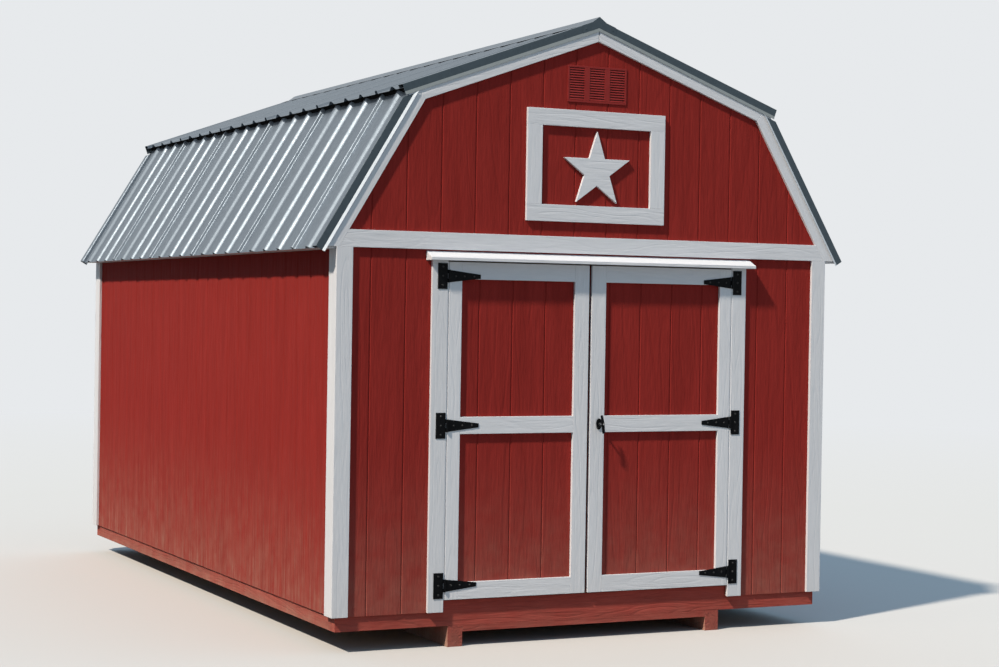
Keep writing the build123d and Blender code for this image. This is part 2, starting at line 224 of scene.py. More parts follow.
# The floor fades into the surround with distance, so no horizon shows
def layFloor():
    look = floorSettings
    material = bpy.data.materials.new("paleFloor")
    tree = emptyTree(material)
    place = objectPlace(tree)
    distance = addNode(tree, "ShaderNodeVectorMath", {0: place}, operation="LENGTH").outputs["Value"]
    away = ramp(tree, distance, *look["fadeRange"])
    inward = ramp(tree, axisOf(tree, place, "X"), *look["leftRange"])
    bounce = mixColour(tree, inward, opaque(look["leftBounce"]), opaque(look["bounce"]))
    fromCamera = addNode(tree, "ShaderNodeLightPath").outputs["Is Camera Ray"]
    shown = mixColour(tree, fromCamera, bounce, opaque(look["colour"]))
    near = addNode(tree, "ShaderNodeBsdfDiffuse", {"Color": shown})
    far = addNode(tree, "ShaderNodeEmission", {"Color": opaque(lightSettings["backdrop"]), "Strength": 1.0})
    both = addNode(tree, "ShaderNodeMixShader", {0: times(tree, away, seeingRays(tree)),
                                                 1: near.outputs[0], 2: far.outputs[0]})
    addNode(tree, "ShaderNodeOutputMaterial", {"Surface": both.outputs[0]})
    shape = bmesh.new()
    bmesh.ops.create_grid(shape, x_segments=1, y_segments=1, size=look["half"])
    mesh = bpy.data.meshes.new("floor")
    shape.to_mesh(mesh)
    shape.free()
    mesh.materials.append(material)
    floor = addObject("floor", mesh)


placeCamera()
lightScene()
layFloor()
print("camera, light and floor placed")


# Shader node groups that several finishes share
def newGroup(name, values, outputs):
    tree = bpy.data.node_groups.new(name, "ShaderNodeTree")
    tree.interface.new_socket("Place", in_out="INPUT", socket_type="NodeSocketVector")
    for label, value in values.items():
        socket = tree.interface.new_socket(label, in_out="INPUT", socket_type="NodeSocketFloat")
        socket.default_value = value
    for label in outputs:
        tree.interface.new_socket(label, in_out="OUTPUT", socket_type="NodeSocketFloat")
    given = tree.nodes.new("NodeGroupInput").outputs
    result = tree.nodes.new("NodeGroupOutput").inputs
    return tree, given, result


def putOut(tree, result, values):
    for label, value in values.items():
        tree.links.new(value, result[label])


# Wood grain along Z of the given place: fine fibres, short pressed strokes, and growth rings
# drawn as the contour lines of a slow noise
grainSettings = {
    "fibre": {"detail": 3.0, "roughness": 0.6, "stretch": (1, 1, 0.04)},
    "stroke": {"detail": 2.0, "roughness": 0.55, "stretch": (1, 1, 0.16)},
    "figure": {"detail": 1.5, "roughness": 0.45, "stretch": (1, 1, 0.13)},
    "drift": {"scale": 15.0, "detail": 3.0, "roughness": 0.6, "stretch": (1, 1, 0.10)},
    "fibreRange": (0.3, 0.7), "fibreHeight": 0.30, "strokeRange": (0.35, 0.68), "strokeHeight": 0.45,
    "ringFold": 0.5, "ringWidth": 0.2, "ringDepth": 0.55,
}


def makeBoardGrain():
    look = grainSettings
    tree, given, result = newGroup(
        "boardGrain", {"Fibres": 120.0, "Strokes": 60.0, "Figure": 7.0, "Rings": 9.0},
        ["Fibre", "Stroke", "Line", "Drift", "Height"])
    place = given["Place"]
    fibre = noise(tree, place, given["Fibres"], **look["fibre"])
    stroke = noise(tree, place, given["Strokes"], **look["stroke"])
    slow = noise(tree, place, given["Figure"], **look["figure"])
    drift = noise(tree, place, **look["drift"])
    wave = mathNode(tree, "PINGPONG", times(tree, slow, given["Rings"]), look["ringFold"])
    line = ramp(tree, wave, 0.0, look["ringWidth"], 1.0, 0.0)
    fine = ramp(tree, fibre, *look["fibreRange"])
    press = ramp(tree, stroke, *look["strokeRange"])
    height = weigh(tree, fine, look["fibreHeight"], press, look["strokeHeight"])
    height = mathNode(tree, "SUBTRACT", height, times(tree, line, look["ringDepth"]))
    putOut(tree, result, {"Fibre": fine, "Stroke": press, "Line": line, "Drift": drift, "Height": height})
    return tree


# Pale dust that lies low on the shed, in upright streaks on its long sides
dustSettings = {
    "colour": (0.50, 0.39, 0.29),
    "cloud": {"scale": 9.0, "detail": 4.0, "roughness": 0.6},
    "cloudRange": (0.3, 0.75), "cloudLeast": 0.35,
    "drips": {"scale": 75.0, "detail": 3.0, "roughness": 0.65, "stretch": (1, 1, 0.03)},
    "dripRange": (0.38, 0.68), "dripLevels": (-0.55, 0.85),
}


def makeGroundDust():
    look = dustSettings
    tree, given, result = newGroup("groundDust", {"Reach": 0.5, "Amount": 0.3, "Sides": 0.0}, ["Dust"])
    place = given["Place"]
    height = mathNode(tree, "DIVIDE", axisOf(tree, place, "Z"), given["Reach"])
    low = mathNode(tree, "SUBTRACT", 1.0, height, clamp=True)
    cloud = ramp(tree, noise(tree, place, **look["cloud"]), *look["cloudRange"], look["cloudLeast"], 1.0)
    facing = addNode(tree, "ShaderNodeTexCoord").outputs["Normal"]
    sideways = mathNode(tree, "ABSOLUTE", axisOf(tree, facing, "X"))
    drips = ramp(tree, noise(tree, place, **look["drips"]), *look["dripRange"], *look["dripLevels"])
    drips = mathNode(tree, "ADD", drips, given["Sides"])
    streak = times(tree, sideways, drips)
    cloud = times(tree, cloud, mathNode(tree, "ADD", streak, 1.0))
    spread = times(tree, times(tree, low, low), cloud)
    putOut(tree, result, {"Dust": times(tree, spread, given["Amount"], clamp=True)})
    return tree


# Rolled metal: zinc crystals, faint streaks and shallow buckles
rollSettings = {
    "streak": {"scale": 3.0, "detail": 3.0, "roughness": 0.6, "stretch": (0.5, 14.0, 0.5)},
    "buckle": {"scale": 3.2, "detail": 1.0, "roughness": 0.4},
    "crystalShare": 0.35, "streakShare": 0.65, "roughRange": (0.2, 0.8),
}


def makeRolledSheet():
    tree, given, result = newGroup("rolledSheet", {"Crystals": 55.0}, ["Crystal", "Streak", "Buckle"])
    place = given["Place"]
    putOut(tree, result, {"Crystal": cellTone(tree, place, given["Crystals"]),
                          "Streak": noise(tree, place, **rollSettings["streak"]),
                          "Buckle": noise(tree, place, **rollSettings["buckle"])})
    return tree


boardGrain = makeBoardGrain()
groundDust = makeGroundDust()
rolledSheet = makeRolledSheet()


def startMaterial(name, specular):
    material = bpy.data.materials.new(name)
    tree = emptyTree(material)
    surface = addNode(tree, "ShaderNodeBsdfPrincipled", {"Specular IOR Level": specular})
    addNode(tree, "ShaderNodeOutputMaterial", {"Surface": surface.outputs[0]})
    return material, tree, surface


def coat(tree, surface, colour, rough, height, distance):
    bump = addNode(tree, "ShaderNodeBump", {"Height": height, "Distance": distance, "Strength": 1.0})
    feed(tree, surface, {"Base Color": colour, "Roughness": rough, "Normal": bump.outputs[0]})


# Wood in all its finishes. A board's own grain follows the boardPlace attribute that its piece carries
woodFinishes = {
    "redSiding": {
        "colour": (0.278, 0.0285, 0.0236), "dark": (0.181, 0.0146, 0.0124), "fibres": 150.0, "strokes": 65.0,
        "figure": 5.5, "rings": 8.0, "roughness": 0.60, "specular": 0.012, "bump": 0.0017,
        "toneSpread": 0.09, "depth": 0.20, "dust": 0.31, "reach": 1.25, "onBoards": False},
    "whiteTrim": {
        "colour": (0.708, 0.719, 0.746), "dark": (0.551, 0.565, 0.594), "fibres": 150.0, "strokes": 62.0,
        "figure": 9.0, "rings": 8.0, "roughness": 0.50, "specular": 0.28, "bump": 0.0009,
        "toneSpread": 0.025, "depth": 0.17, "dust": 0.22, "reach": 0.60, "onBoards": True},
    "redTimber": {
        "colour": (0.370, 0.058, 0.043), "dark": (0.215, 0.026, 0.020), "fibres": 120.0, "strokes": 60.0,
        "figure": 9.0, "rings": 10.0, "roughness": 0.72, "specular": 0.12, "bump": 0.0018,
        "toneSpread": 0.14, "depth": 0.36, "dust": 0.24, "reach": 0.34, "sideDust": 2.2, "onBoards": True},
    "bareLumber": {
        "colour": (0.560, 0.375, 0.190), "dark": (0.380, 0.215, 0.090), "fibres": 140.0, "strokes": 70.0,
        "figure": 11.0, "rings": 12.0, "roughness": 0.70, "specular": 0.25, "bump": 0.0005,
        "toneSpread": 0.16, "depth": 0.60, "dust": 0.0, "onBoards": True},
}
woodSettings = {"strokeShare": 0.8, "fibreShare": 0.5, "driftRange": (0.3, 0.7),
                "rougher": 0.10, "smoother": 0.06}


def makeWood(name):
    look = woodFinishes[name]
    material, tree, surface = startMaterial(name, look["specular"])
    if look["onBoards"]:
        place = addNode(tree, "ShaderNodeAttribute", attribute_name="boardPlace").outputs["Vector"]
    else:
        place = objectPlace(tree)
    grainNode = addNode(tree, "ShaderNodeGroup", {"Place": place}, node_tree=boardGrain)
    for label in ("Fibres", "Strokes", "Figure", "Rings"):
        grainNode.inputs[label].default_value = look[label.lower()]
    grain = grainNode.outputs

    # Rings, strokes and fibres darken the finish; a slow drift and each board's own tone vary it
    line = times(tree, grain["Line"], look["depth"])
    press = ramp(tree, grain["Stroke"], 0.0, 1.0, look["depth"] * woodSettings["strokeShare"], 0.0)
    furrow = ramp(tree, grain["Fibre"], 0.0, 1.0, look["depth"] * woodSettings["fibreShare"], 0.0)
    shade = mathNode(tree, "ADD", mathNode(tree, "MAXIMUM", line, press), furrow, clamp=True)
    colour = mixColour(tree, shade, opaque(look["colour"]), opaque(look["dark"]))
    spread = look["toneSpread"]
    tone = ramp(tree, grain["Drift"], *woodSettings["driftRange"], 1.0 - spread, 1.0 + spread)
    if look["onBoards"]:
        own = addNode(tree, "ShaderNodeAttribute", attribute_name="boardTone").outputs["Fac"]
        tone = mathNode(tree, "ADD", tone, times(tree, own, spread))
    tint = addNode(tree, "ShaderNodeCombineColor", {0: tone, 1: tone, 2: tone}).outputs[0]
    colour = mixColour(tree, 1.0, colour, tint, "MULTIPLY")
    if look["dust"]:
        dust = addNode(tree, "ShaderNodeGroup",
                       {"Place": objectPlace(tree), "Reach": look["reach"], "Amount": look["dust"],
                        "Sides": look.get("sideDust", 0.0)}, node_tree=groundDust)
        colour = mixColour(tree, dust.outputs["Dust"], colour, opaque(dustSettings["colour"]))
    rough = ramp(tree, grain["Fibre"], 0.0, 1.0, look["roughness"] + woodSettings["rougher"],
                 look["roughness"] - woodSettings["smoother"])
    coat(tree, surface, colour, rough, grain["Height"], look["bump"])
    return material


# Pressed wood flakes: floor, roof boards and the inside of the panels
flakeLook = {
    "light": (0.60, 0.43, 0.24), "dark": (0.36, 0.22, 0.10), "roughness": 0.78, "specular": 0.25,
    "flakes": 34.0, "layers": ((1.0, 0.28, 0.5), (0.32, 1.0, 1.0)), "bump": 0.0006,
    "swirlScale": 6.0, "swirl": (0.12, 0.12, 0.12),
    "fibre": {"scale": 160.0, "detail": 2.0, "roughness": 0.6, "stretch": (1.0, 0.2, 1.0)},
    "flakeShare": 0.8, "fibreShare": 0.25,
}


def makeStrandBoard():
    look = flakeLook
    material, tree, surface = startMaterial("strandBoard", look["specular"])
    where = objectPlace(tree)
    bend = addNode(tree, "ShaderNodeTexNoise",
                   {"Vector": where, "Scale": look["swirlScale"], "Detail": 2.0}).outputs["Color"]
    swirl = addNode(tree, "ShaderNodeVectorMath", {0: where, 1: stretched(tree, bend, look["swirl"])},
                    operation="ADD").outputs[0]
    layers = [cellTone(tree, stretched(tree, swirl, stretch), look["flakes"]) for stretch in look["layers"]]
    flake = times(tree, mathNode(tree, "ADD", layers[0], layers[1]), 1 / len(layers))
    fibre = noise(tree, swirl, **look["fibre"])
    blend = weigh(tree, flake, look["flakeShare"], fibre, look["fibreShare"], clamp=True)
    colour = mixColour(tree, blend, opaque(look["dark"]), opaque(look["light"]))
    coat(tree, surface, colour, look["roughness"], flake, look["bump"])
    return material


# Bare zinc-coated sheet, and finishes for the bent strips along the gable edges, which are of the same zinc
# sheet: a dark finish for their faces, which is a painted reflection of dark surroundings, and their hems,
# lighter on the lower strips as a painted glint and darker on the upper strips as painted shade
metalFinishes = {
    "roofSheet": {"colour": (0.222, 0.264, 0.309), "dull": (0.168, 0.202, 0.238), "roughness": 0.53,
                  "spread": 0.05, "buckle": 0.0015},
    # This dark finish is a painted reflection: the strips' faces are the same bare zinc as the roof
    "paintedDarkReflection": {"colour": (0.064, 0.089, 0.108), "dull": (0.047, 0.067, 0.083), "roughness": 0.44,
                  "spread": 0.08, "metallic": 0.25, "specular": 0.25, "buckle": 0.002},
    # Two copies of one hem: the lighter one is a painted glint for the lower strips, the darker one painted
    # shade for the upper strips
    "paintedLitHem": {"colour": (0.640, 0.700, 0.750), "dull": (0.540, 0.590, 0.630), "roughness": 0.42,
                  "spread": 0.06, "buckle": 0.001},
    "paintedShadedHem": {"colour": (0.290, 0.325, 0.330), "dull": (0.235, 0.265, 0.270), "roughness": 0.42,
                "spread": 0.06, "buckle": 0.001},
    "bareZinc": {"colour": (0.430, 0.440, 0.450), "dull": (0.320, 0.330, 0.340), "roughness": 0.34,
                 "spread": 0.08, "buckle": 0.0002},
}


def makeMetal(name):
    look = metalFinishes[name]
    material, tree, surface = startMaterial(name, look.get("specular", 0.5))
    sheet = addNode(tree, "ShaderNodeGroup", {"Place": objectPlace(tree)}, node_tree=rolledSheet).outputs
    blend = weigh(tree, sheet["Crystal"], rollSettings["crystalShare"],
                  sheet["Streak"], rollSettings["streakShare"], clamp=True)
    colour = mixColour(tree, blend, opaque(look["dull"]), opaque(look["colour"]))
    rough = ramp(tree, blend, *rollSettings["roughRange"],
                 look["roughness"] + look["spread"], look["roughness"] - look["spread"])
    surface.inputs["Metallic"].default_value = look.get("metallic", 1.0)
    coat(tree, surface, colour, rough, sheet["Buckle"], look["buckle"])
    return material


# Plain coated parts: a slow cloud of colour and a fine pebbled skin
skinFinishes = {
    "blackHardware": {"colour": (0.0030, 0.0035, 0.0046), "worn": (0.0065, 0.0071, 0.0085), "cloud": 28.0,
                      "pebble": 420.0, "roughness": 0.36, "specular": 0.06, "bump": 0.0002},
    "boltHead": {"colour": (0.010, 0.011, 0.012), "worn": (0.030, 0.031, 0.033), "cloud": 60.0,
                 "pebble": 420.0, "roughness": 0.34, "specular": 0.30, "bump": 0.0001},
    "redVent": {"colour": (0.240, 0.0215, 0.0185), "worn": (0.280, 0.0280, 0.0240), "cloud": 14.0,
                "pebble": 300.0, "roughness": 0.46, "specular": 0.15, "bump": 0.0003},
    # Near-black painted shade, for the knuckle closures and the vent backing, where there is only shadow
    "paintedShadeBlack": {"colour": (0.010, 0.010, 0.011), "worn": (0.022, 0.021, 0.021), "cloud": 20.0,
                    "pebble": 260.0, "roughness": 0.90, "specular": 0.10, "bump": 0.0008},
}
skinSettings = {"cloudRange": (0.40, 0.75), "pebbleRange": (0.2, 0.8), "smoother": 0.06, "rougher": 0.08}


def makeSkin(name):
    look = skinFinishes[name]
    material, tree, surface = startMaterial(name, look["specular"])
    where = objectPlace(tree)
    pebble = noise(tree, where, look["pebble"], detail=2.0, roughness=0.6)
    cloud = noise(tree, where, look["cloud"], detail=3.0, roughness=0.6)
    cloud = ramp(tree, cloud, *skinSettings["cloudRange"])
    colour = mixColour(tree, cloud, opaque(look["colour"]), opaque(look["worn"]))
    rough = ramp(tree, pebble, *skinSettings["pebbleRange"], look["roughness"] - skinSettings["smoother"],
                 look["roughness"] + skinSettings["rougher"])
    coat(tree, surface, colour, rough, pebble, look["bump"])
    return material


finish = {name: makeWood(name) for name in woodFinishes}
finish.update({name: makeMetal(name) for name in metalFinishes})
finish.update({name: makeSkin(name) for name in skinFinishes})
finish["strandBoard"] = makeStrandBoard()
finishOfSlot = {"red_siding": "redSiding", "white_trim": "whiteTrim", "red_timber": "redTimber",
                "bare_lumber": "bareLumber", "sheathing": "strandBoard", "roof_metal": "roofSheet",
                "black_hardware": "blackHardware", "red_vent": "redVent"}
print("finishes:", ", ".join(sorted(finish)))


# Distances in metres, angles in degrees
meshSettings = {"merge": 0.00002, "cut": 0.00001, "flat": 0.5, "smooth": 40, "longEdge": 0.3,
                "foldSegments": 4}
zToFront = Matrix.Rotation(math.radians(90), 4, "X")


# A merged copy of a frame node, with its flat faces whole again
def copyNode(node):
    shape = bmesh.new()
    shape.from_mesh(nodes[node].data)
    bmesh.ops.remove_doubles(shape, verts=shape.verts, dist=meshSettings["merge"])
    bmesh.ops.dissolve_limit(shape, angle_limit=math.radians(meshSettings["flat"]), verts=shape.verts,
                             edges=shape.edges)
    return shape


def addPiece(name, shape, body, materials, replaced=(), smooth=False):
    mesh = bpy.data.meshes.new(name)
    shape.to_mesh(mesh)
    shape.free()
    for material in materials:
        mesh.materials.append(finish[material])
    if smooth:
        mesh.polygons.foreach_set("use_smooth", [True] * len(mesh.polygons))
        mesh.set_sharp_from_angle(angle=math.radians(meshSettings["smooth"]))
    piece = addObject(name, mesh)
    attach(piece, body)
    if replaced:
        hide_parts(*replaced)
    return piece


def bevelEdges(shape, edges, size, segments=2):
    made = bmesh.ops.bevel(shape, geom=edges, offset=size, offset_type="OFFSET", affect="EDGES",
                           segments=segments, profile=0.5, material=-1, clamp_overlap=True)
    return made["faces"]


# Rounded folds of sheet metal
def foldEdges(shape, edges, size):
    faces = bevelEdges(shape, edges, size, meshSettings["foldSegments"])
    for face in faces:
        face.smooth = True
    return faces


def sharpEdges(shape, degrees=30):
    return [edge for edge in shape.edges if edge.calc_face_angle(0) > math.radians(degrees)]


def wholeOf(shape):
    return shape.verts[:] + shape.edges[:] + shape.faces[:]


def moveBy(shape, verts, move):
    bmesh.ops.translate(shape, verts=verts, vec=move)


def vertsIn(made):
    return [item for item in made["geom"] if isinstance(item, bmesh.types.BMVert)]


# A box between two corners, joined to the shape
def addBlock(shape, low, high, turn=Matrix.Identity(4)):
    low = Vector(low)
    high = Vector(high)
    place = Matrix.Translation((low + high) / 2) @ turn @ Matrix.Diagonal((high - low).to_4d())
    bmesh.ops.create_cube(shape, size=1.0, matrix=place)


def solidsOf(shape):
    groups = []
    seen = set()
    for start in shape.verts:
        if start in seen:
            continue
        group = []
        reach = [start]
        seen.add(start)
        while reach:
            vert = reach.pop()
            group.append(vert)
            for edge in vert.link_edges:
                other = edge.other_vert(vert)
                if other not in seen:
                    seen.add(other)
                    reach.append(other)
        groups.append(group)
    return groups


# Boards: edges eased with a small bevel, and each board's grain laid along its own length
boardSettings = {"ease": 0.0014, "shift": 40.0}
boardSlots = ("white_trim", "red_timber", "bare_lumber")
meetingSettings = {"reach": 0.010, "clear": 0.003,
                   "left": ("left_door_stiles", "left_door_panel"),
                   "right": ("right_door_stiles", "right_door_panel")}


def layGrain(shape, name):
    place = shape.verts.layers.float_vector.new("boardPlace")
    tone = shape.verts.layers.float.new("boardTone")
    draw = random.Random(name)
    for group in solidsOf(shape):
        points = numpy.array([vert.co[:] for vert in group])
        middle = points.mean(axis=0)
        axes = numpy.linalg.eigh(numpy.cov((points - middle).T))[1].T
        shift = numpy.array([draw.uniform(0, boardSettings["shift"]) for axis in axes])
        boardTone = draw.uniform(-1, 1)
        for vert, point in zip(group, points):
            vert[place] = Vector(axes @ (point - middle) + shift)
            vert[tone] = boardTone


# The leaves' meeting edges stand back a little, so that the joint between them shows as a dark line
def openMeeting(shape, node):
    for leaf, corner, away in (("left", 1, -1), ("right", 0, 1)):
        if node in meetingSettings[leaf]:
            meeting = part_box(node)[corner].x
            moved = [vert for vert in shape.verts if abs(vert.co.x - meeting) < meetingSettings["reach"]]
            moveBy(shape, moved, (away * meetingSettings["clear"], 0, 0))


def dressBoards(node):
    shape = copyNode(node)
    bevelEdges(shape, sharpEdges(shape), boardSettings["ease"])
    openMeeting(shape, node)
    layGrain(shape, node)
    slot = slotOfNode[node]
    addPiece(node + "_boards", shape, bodyOfNode[node], [finishOfSlot[slot]], [node])


boardNodes = sorted(node for node in nodes if slotOfNode[node] in boardSlots)
for boardNode in boardNodes:
    dressBoards(boardNode)
print("boards:", len(boardNodes), "nodes dressed")


# White strips on the jambs that close the joint along each hinge edge
jointStripSettings = {"clear": 0.002, "setBack": 0.0022, "depth": 0.013, "ease": 0.0008, "jambWidth": 0.093}


def makeJointStrips():
    look = jointStripSettings
    shape = bmesh.new()
    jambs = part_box("door_jamb_boards")
    front = jambs[0].y + look["setBack"]
    for side, leaf in ((-1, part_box("left_door_stiles")[0]), (1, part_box("right_door_stiles")[1])):
        ends = sorted((side * (abs(leaf.x) + look["clear"]), side * (jambs[1].x - look["jambWidth"])))
        addBlock(shape, (ends[0], front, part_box("left_door_stiles")[0].z),
                 (ends[1], front + look["depth"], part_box("left_door_stiles")[1].z))
    bevelEdges(shape, shape.edges[:], look["ease"])
    layGrain(shape, "jointStrips")
    addPiece("door_joint_strips", shape, "shed", ["whiteTrim"])


makeJointStrips()


# Grooved panels: grooves are cut down the outer face, and the inner face is bare flakes
panelSettings = {
    "grooveWidth": 0.0120,
    "grooveFloor": 0.0070,
    "grooveDepth": 0.0034,
    "sideDepth": 0.0018,     # grooves of the long sides
    "wallPitch": 0.2032,
    "frontStart": 0.0713,    # one groove of the front wall, from the middle
    "doorPitch": 0.2027,
    "doorStart": 0.1013,     # first groove of each door leaf, from the middle
    "near": 0.0002,          # slack in picking the corners of a groove's floor
    "skin": 0.0001,
    "inside": -0.9,          # faces turned further inward than this are bare flakes
}


def grooveLines(low, high, start, pitch):
    margin = panelSettings["grooveWidth"]
    first = math.ceil((low + margin - start) / pitch)
    last = math.floor((high - margin - start) / pitch)
    return [start + pitch * step for step in range(first, last + 1)]


def cutGrooves(shape, outward, start, pitch):
    look = panelSettings
    axis, depth = (0, look["grooveDepth"]) if outward.y else (1, look["sideDepth"])
    across = Vector((1 - axis, axis, 0))
    depthAxis = 1 - axis
    side = outward[depthAxis]
    low = min(vert.co[axis] for vert in shape.verts)
    high = max(vert.co[axis] for vert in shape.verts)
    face = max(vert.co[depthAxis] * side for vert in shape.verts) - look["skin"]
    reach = look["grooveFloor"] / 2 + look["near"]
    for centre in grooveLines(low, high, start, pitch):
        for width in (look["grooveWidth"], look["grooveFloor"]):
            for edge in (-width / 2, width / 2):
                bmesh.ops.bisect_plane(shape, geom=wholeOf(shape), dist=meshSettings["cut"],
                                       plane_co=across * (centre + edge), plane_no=across)
        sunk = [vert for vert in shape.verts
                if abs(vert.co[axis] - centre) < reach and vert.co[depthAxis] * side > face]
        moveBy(shape, sunk, outward * -depth)


def dressPanel(node, outward, start, pitch=panelSettings["wallPitch"]):
    shape = copyNode(node)
    openMeeting(shape, node)
    cutGrooves(shape, outward, start, pitch)
    shape.normal_update()
    for face in shape.faces:
        face.material_index = 1 if face.normal.dot(outward) < panelSettings["inside"] else 0
    addPiece(node + "_grooved", shape, bodyOfNode[node], ["redSiding", "strandBoard"], [node])


toFront = Vector((0, -1, 0))
toRight = Vector((1, 0, 0))
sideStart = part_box("left_wall")[0].y
for panelNode in ("front_wall_left", "front_wall_right", "front_wall_head", "front_gable"):
    dressPanel(panelNode, toFront, panelSettings["frontStart"])
dressPanel("back_wall", -toFront, panelSettings["frontStart"])
dressPanel("left_wall", -toRight, sideStart)
dressPanel("right_wall", toRight, sideStart)
dressPanel("right_door_panel", toFront, panelSettings["doorStart"], panelSettings["doorPitch"])
dressPanel("left_door_panel", toFront, -panelSettings["doorStart"], panelSettings["doorPitch"])
print("panels grooved")


# Roof lines read from the roof boards: the lower slope runs from eave to knuckle, the upper to the ridge
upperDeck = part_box("upper_roof_decks")
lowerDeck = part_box("lower_roof_decks")
knuckle = Vector((upperDeck[1].x, 0, lowerDeck[1].z))
eave = Vector((lowerDeck[1].x, 0, lowerDeck[0].z))
ridge = Vector((0, 0, upperDeck[1].z))
upperFall = (ridge.z - knuckle.z) / knuckle.x
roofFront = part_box("lower_roofing")[0].y
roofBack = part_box("lower_roofing")[1].y


# Ribbed sheets in fours: a slack rib, a steep lap rib with tight bends, then two plain ones
sheetSettings = {
    "firstRib": 0.150,
    "ribPitch": 0.2286,
    "ribBase": 0.060,
    "bend": 0.0105,
    "lapBend": 0.0038,
    "footShift": (0.013, -0.012, 0.0, 0.0),    # how far each kind's feet reach out
    "lapKind": 1,
    "bendAngle": 20,                           # degrees
    "endClear": 0.010,
    "match": 0.001,
}


def ribCentres():
    centres = []
    centre = roofFront + sheetSettings["firstRib"]
    while centre < roofBack - sheetSettings["ribBase"]:
        centres.append(centre)
        centre += sheetSettings["ribPitch"]
    return centres


def ribKind(y):
    step = round((y - roofFront - sheetSettings["firstRib"]) / sheetSettings["ribPitch"])
    return step % len(sheetSettings["footShift"])


# Long edges along the slope, away from the sheet's two ends
def isRibBend(edge):
    levels = [vert.co.y for vert in edge.verts]
    fromEnds = min(abs(level - end) for level in levels for end in (roofFront, roofBack))
    return (edge.calc_length() > meshSettings["longEdge"] and fromEnds > sheetSettings["endClear"]
            and abs(levels[0] - levels[1]) < sheetSettings["match"])


def dressSheets(node):
    look = sheetSettings
    shape = copyNode(node)
    foot = look["ribBase"] / 2
    bends = [edge for edge in sharpEdges(shape, look["bendAngle"]) if isRibBend(edge)]
    for centre in ribCentres():
        shift = look["footShift"][ribKind(centre)]
        for side in (-1, 1):
            moved = [vert for vert in shape.verts if abs(vert.co.y - centre - side * foot) < look["match"]]
            moveBy(shape, moved, (0, side * shift, 0))
    tight = [edge for edge in bends if ribKind(edge.verts[0].co.y) == look["lapKind"]]
    soft = [edge for edge in bends if ribKind(edge.verts[0].co.y) != look["lapKind"]]
    foldEdges(shape, tight, look["lapBend"])
    foldEdges(shape, soft, look["bend"])
    addPiece(node + "_sheets", shape, "shed", ["roofSheet"], [node])


dressSheets("lower_roofing")
dressSheets("upper_roofing")


# Bent strips along the gable edges: a face, a hem and a bare flange, all of one zinc sheet. The face's dark
# finish is a painted reflection of dark surroundings; the lower pair's hems are lighter as a painted glint
# and the upper pair's darker as painted shade. The upper pair meet at the ridge
edgeStripSettings = {
    "upper_rake_metal": {"hemPull": 0.0065, "hemTuck": 0.004, "legBend": 0.003, "hem": "paintedShadedHem"},
    "lower_rake_metal": {"hemPull": 0.0030, "hemTuck": 0.008, "legBend": 0.010, "hem": "paintedLitHem"},
}
stripSettings = {
    "meeting": 0.02,        # how near the ridge an upper strip's end lies
    "hemEdge": 0.002,
    "legDepth": 0.069,      # from the hem back to the inner leg
    "legTop": 0.003,
    "faceDepth": 0.014,     # from the hem back to the dark face
    "bendDepth": 0.013,
    "bend": 0.003,
    "faceTurn": 0.993,      # how squarely each part looks out
    "hemTurn": 0.8,
    "flangeTurn": 0.1,
}


def dressEdgeStrips(node):
    strip = stripSettings
    look = edgeStripSettings[node]
    slope = (ridge - knuckle if node == "upper_rake_metal" else knuckle - eave).normalized()
    shape = copyNode(node)
    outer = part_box(node)[1].y
    for vert in shape.verts:
        if abs(vert.co.x) < strip["meeting"]:
            vert.co.z += abs(vert.co.x) * upperFall
            vert.co.x = 0.0
        if abs(vert.co.y) > outer - strip["hemEdge"]:
            vert.co.y -= math.copysign(look["hemPull"], vert.co.y)
            vert.co.z -= slope.x * look["hemTuck"]
            if vert.co.x:
                vert.co.x += math.copysign(slope.z * look["hemTuck"], vert.co.x)
    # The inner leg folds down with a bend like a rib's
    leg = [vert for vert in shape.verts if abs(vert.co.y) < outer - strip["legDepth"]]
    lift = {vert: abs(vert.co.x) * slope.z - vert.co.z * slope.x for vert in leg}
    top = {vert for vert in leg if lift[vert] > max(lift.values()) - strip["legTop"]}
    folds = [edge for edge in shape.edges
             if edge.calc_length() > meshSettings["longEdge"] and top.issuperset(edge.verts)]
    foldEdges(shape, folds, look["legBend"])
    shape.normal_update()
    # Faces that look straight out take the painted dark reflection, and the hems take the strip's painted hem
    # colour: lit on the lower strips, shaded on the upper
    for face in shape.faces:
        if abs(face.calc_center_median().y) < outer - strip["faceDepth"]:
            continue
        if abs(face.normal.y) > strip["faceTurn"]:
            face.material_index = 1
        elif abs(face.normal.y) > strip["hemTurn"]:
            face.material_index = 2
    # The folds along the faces also take the painted dark reflection, as painted shade that hides the glint
    # there
    fronts = []
    for edge in shape.edges:
        turns = sorted(abs(face.normal.y) for face in edge.link_faces)
        if (edge.calc_length() > meshSettings["longEdge"] and turns[0] < strip["flangeTurn"]
                and turns[-1] > strip["faceTurn"]
                and abs(edge.verts[0].co.y) > outer - strip["bendDepth"]):
            fronts.append(edge)
    for face in foldEdges(shape, fronts, strip["bend"]):
        face.material_index = 1
    addPiece(node + "_strips", shape, "shed", ["roofSheet", "paintedDarkReflection", look["hem"]], [node])


dressEdgeStrips("upper_rake_metal")
dressEdgeStrips("lower_rake_metal")


# The ridge cap's ends are folded down over the gable edges. Their dark finish is the same painted dark
# reflection as the strips' faces
capEndSettings = {"drop": 0.043, "thickness": 0.0018, "footLift": 0.001, "crownShare": 0.43,
                  "crownLift": 0.0228, "rivet": 0.004, "rivetFlat": 0.5, "rivetOut": 0.085,
                  "rivetDown": 0.022, "rivetSeat": 0.003}


